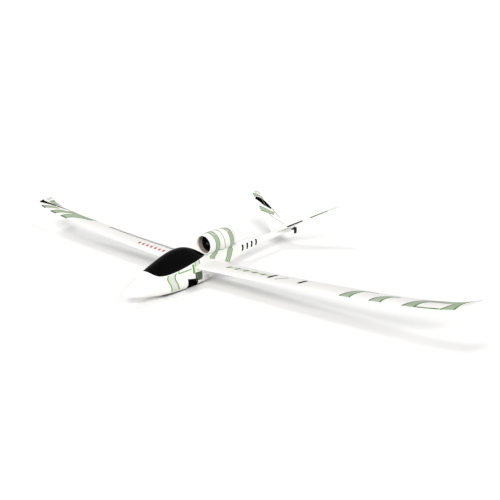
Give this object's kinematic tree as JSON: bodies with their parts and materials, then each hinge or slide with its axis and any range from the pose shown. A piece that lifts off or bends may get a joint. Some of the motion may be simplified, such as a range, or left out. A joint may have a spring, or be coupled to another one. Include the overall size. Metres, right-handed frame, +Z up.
{
  "type": "rc glider",
  "caption": "V-tail model glider with a ducted fan in a dorsal nacelle, lift-off canopy, moving ailerons and ruddervators, belly skid.",
  "frame": {"origin": "on the floor under the middle of the overall length, in the centre plane", "axes": "nose towards -Y, left wing towards +X, +Z up; the belly skid rests on z=0"},
  "size_m": [2, 0.99, 0.2062],
  "materials": {
    "white_foam": "satin moulded foam",
    "canopy_black": "polished",
    "black_plastic": "moulded",
    "duct_beige": "moulded",
    "carbon": "woven",
    "steel_wire": "drawn",
    "aluminium_can": "anodised",
    "plywood": "laser cut",
    "battery_wrap": "heat shrink",
    "strap_fabric": "woven",
    "nylon_white": "moulded",
    "servo_blue": "translucent case",
    "magnet_nickel": "plated",
    "receiver_case": "moulded",
    "tube_film": "rolled sheet"
  },
  "bodies": {
    "airframe": {"aileron_hinge_wires": "steel_wire", "aileron_servo_covers": "nylon_white", "aileron_servos": "servo_blue", "battery": "battery_wrap", "battery_strap": "strap_fabric", "belly_skid": "black_plastic", "duct_liner": "duct_beige", "equipment_tray": "plywood", "fan_shroud": "black_plastic", "fuselage_left": "white_foam", "fuselage_magnets": "magnet_nickel", "fuselage_right": "white_foam", "intake_lip": "white_foam", "magnet_bridge": "plywood", "motor": "aluminium_can", "motor_tail_cone": "black_plastic", "nacelle": "white_foam", "receiver": "receiver_case", "ruddervator_hinge_wires": "steel_wire", "ruddervator_servo_covers": "nylon_white", "ruddervator_servos": "servo_blue", "speed_controller": "black_plastic", "tail_bumper": "black_plastic", "tail_fin_left": "white_foam", "tail_fin_right": "white_foam", "thrust_tube": "tube_film", "tray_formers": "plywood", "wing_joiner": "carbon", "wing_left": "white_foam", "wing_pins": "carbon", "wing_right": "white_foam", "wing_screws": "steel_wire", "wing_spars": "carbon"},
    "aileron_left": {"aileron_left": "white_foam", "aileron_horn_left": "black_plastic"},
    "aileron_servo_arm_left": {"aileron_servo_arm_left": "nylon_white"},
    "aileron_pushrod_left": {"aileron_pushrod_left": "steel_wire"},
    "aileron_right": {"aileron_right": "white_foam", "aileron_horn_right": "black_plastic"},
    "aileron_servo_arm_right": {"aileron_servo_arm_right": "nylon_white"},
    "aileron_pushrod_right": {"aileron_pushrod_right": "steel_wire"},
    "ruddervator_left": {"ruddervator_left": "white_foam", "ruddervator_horn_left": "black_plastic"},
    "ruddervator_servo_arm_left": {"ruddervator_servo_arm_left": "nylon_white"},
    "ruddervator_pushrod_left": {"ruddervator_pushrod_left": "steel_wire"},
    "ruddervator_right": {"ruddervator_right": "white_foam", "ruddervator_horn_right": "black_plastic"},
    "ruddervator_servo_arm_right": {"ruddervator_servo_arm_right": "nylon_white"},
    "ruddervator_pushrod_right": {"ruddervator_pushrod_right": "steel_wire"},
    "fan": {"fan_rotor": "black_plastic", "fan_shaft": "steel_wire", "spinner": "black_plastic"},
    "canopy": {"canopy_shell": "canopy_black", "canopy_frame": "black_plastic", "canopy_magnets": "magnet_nickel"},
    "hatch": {"fan_hatch": "white_foam"}
  },
  "joints": [
    {"name": "aileron_left_hinge", "type": "hinge", "parent": "airframe", "child": "aileron_left", "pos_m": [0.6048, -0.13134, 0.12218], "axis": [0.9954, 0.0328, 0.0901], "range_deg": [-22, 22]},
    {"name": "aileron_servo_arm_left_turn", "type": "hinge", "parent": "airframe", "child": "aileron_servo_arm_left", "pos_m": [0.60578, -0.16132, 0.12227], "axis": [0.9954, 0.0328, 0.0901], "range_deg": [-22.5, 22.5]},
    {"name": "aileron_pushrod_left_pivot", "type": "hinge", "parent": "aileron_servo_arm_left", "child": "aileron_pushrod_left", "pos_m": [0.60659, -0.16132, 0.11331], "axis": [0.9954, 0.0328, 0.0901], "range_deg": [-22.5, 22.5]},
    {"name": "aileron_right_hinge", "type": "hinge", "parent": "airframe", "child": "aileron_right", "pos_m": [-0.6048, -0.13134, 0.12218], "axis": [0.9954, -0.0328, -0.0901], "range_deg": [-22, 22]},
    {"name": "aileron_servo_arm_right_turn", "type": "hinge", "parent": "airframe", "child": "aileron_servo_arm_right", "pos_m": [-0.60578, -0.16132, 0.12227], "axis": [0.9954, -0.0328, -0.0901], "range_deg": [-22.5, 22.5]},
    {"name": "aileron_pushrod_right_pivot", "type": "hinge", "parent": "aileron_servo_arm_right", "child": "aileron_pushrod_right", "pos_m": [-0.60659, -0.16132, 0.11331], "axis": [0.9954, -0.0328, -0.0901], "range_deg": [-22.5, 22.5]},
    {"name": "ruddervator_left_hinge", "type": "hinge", "parent": "airframe", "child": "ruddervator_left", "pos_m": [0.04489, 0.39714, 0.10987], "axis": [0.8209, 0.3683, 0.4365], "range_deg": [-25, 25]},
    {"name": "ruddervator_servo_arm_left_turn", "type": "hinge", "parent": "airframe", "child": "ruddervator_servo_arm_left", "pos_m": [0.05465, 0.36925, 0.11506], "axis": [0.8209, 0.3683, 0.4365], "range_deg": [-25.5, 25.5]},
    {"name": "ruddervator_pushrod_left_pivot", "type": "hinge", "parent": "ruddervator_servo_arm_left", "child": "ruddervator_pushrod_left", "pos_m": [0.05887, 0.36925, 0.10711], "axis": [0.8209, 0.3683, 0.4365], "range_deg": [-25.5, 25.5]},
    {"name": "ruddervator_right_hinge", "type": "hinge", "parent": "airframe", "child": "ruddervator_right", "pos_m": [-0.04489, 0.39714, 0.10987], "axis": [0.8209, -0.3683, -0.4365], "range_deg": [-25, 25]},
    {"name": "ruddervator_servo_arm_right_turn", "type": "hinge", "parent": "airframe", "child": "ruddervator_servo_arm_right", "pos_m": [-0.05465, 0.36925, 0.11506], "axis": [0.8209, -0.3683, -0.4365], "range_deg": [-25.5, 25.5]},
    {"name": "ruddervator_pushrod_right_pivot", "type": "hinge", "parent": "ruddervator_servo_arm_right", "child": "ruddervator_pushrod_right", "pos_m": [-0.05887, 0.36925, 0.10711], "axis": [0.8209, -0.3683, -0.4365], "range_deg": [-25.5, 25.5]},
    {"name": "fan_spin", "type": "hinge", "parent": "airframe", "child": "fan", "pos_m": [0, -0.075, 0.136], "axis": [0, 1, 0], "continuous": true},
    {"name": "canopy_lift", "type": "slide", "parent": "airframe", "child": "canopy", "axis": [0, 0, 1], "range_m": [0, 0.06]},
    {"name": "fan_hatch_lift", "type": "slide", "parent": "airframe", "child": "hatch", "axis": [0, 0, 1], "range_m": [0, 0.03]}
  ],
  "couplings": [
    {"joint": "aileron_servo_arm_left_turn", "follows": "aileron_left_hinge", "ratio": 1},
    {"joint": "aileron_pushrod_left_pivot", "follows": "aileron_left_hinge", "ratio": -1},
    {"joint": "aileron_right_hinge", "follows": "aileron_left_hinge", "ratio": -1},
    {"joint": "aileron_servo_arm_right_turn", "follows": "aileron_left_hinge", "ratio": -1},
    {"joint": "aileron_pushrod_right_pivot", "follows": "aileron_left_hinge", "ratio": 1},
    {"joint": "ruddervator_servo_arm_left_turn", "follows": "ruddervator_left_hinge", "ratio": 1},
    {"joint": "ruddervator_pushrod_left_pivot", "follows": "ruddervator_left_hinge", "ratio": -1},
    {"joint": "ruddervator_servo_arm_right_turn", "follows": "ruddervator_right_hinge", "ratio": 1},
    {"joint": "ruddervator_pushrod_right_pivot", "follows": "ruddervator_right_hinge", "ratio": -1}
  ]
}
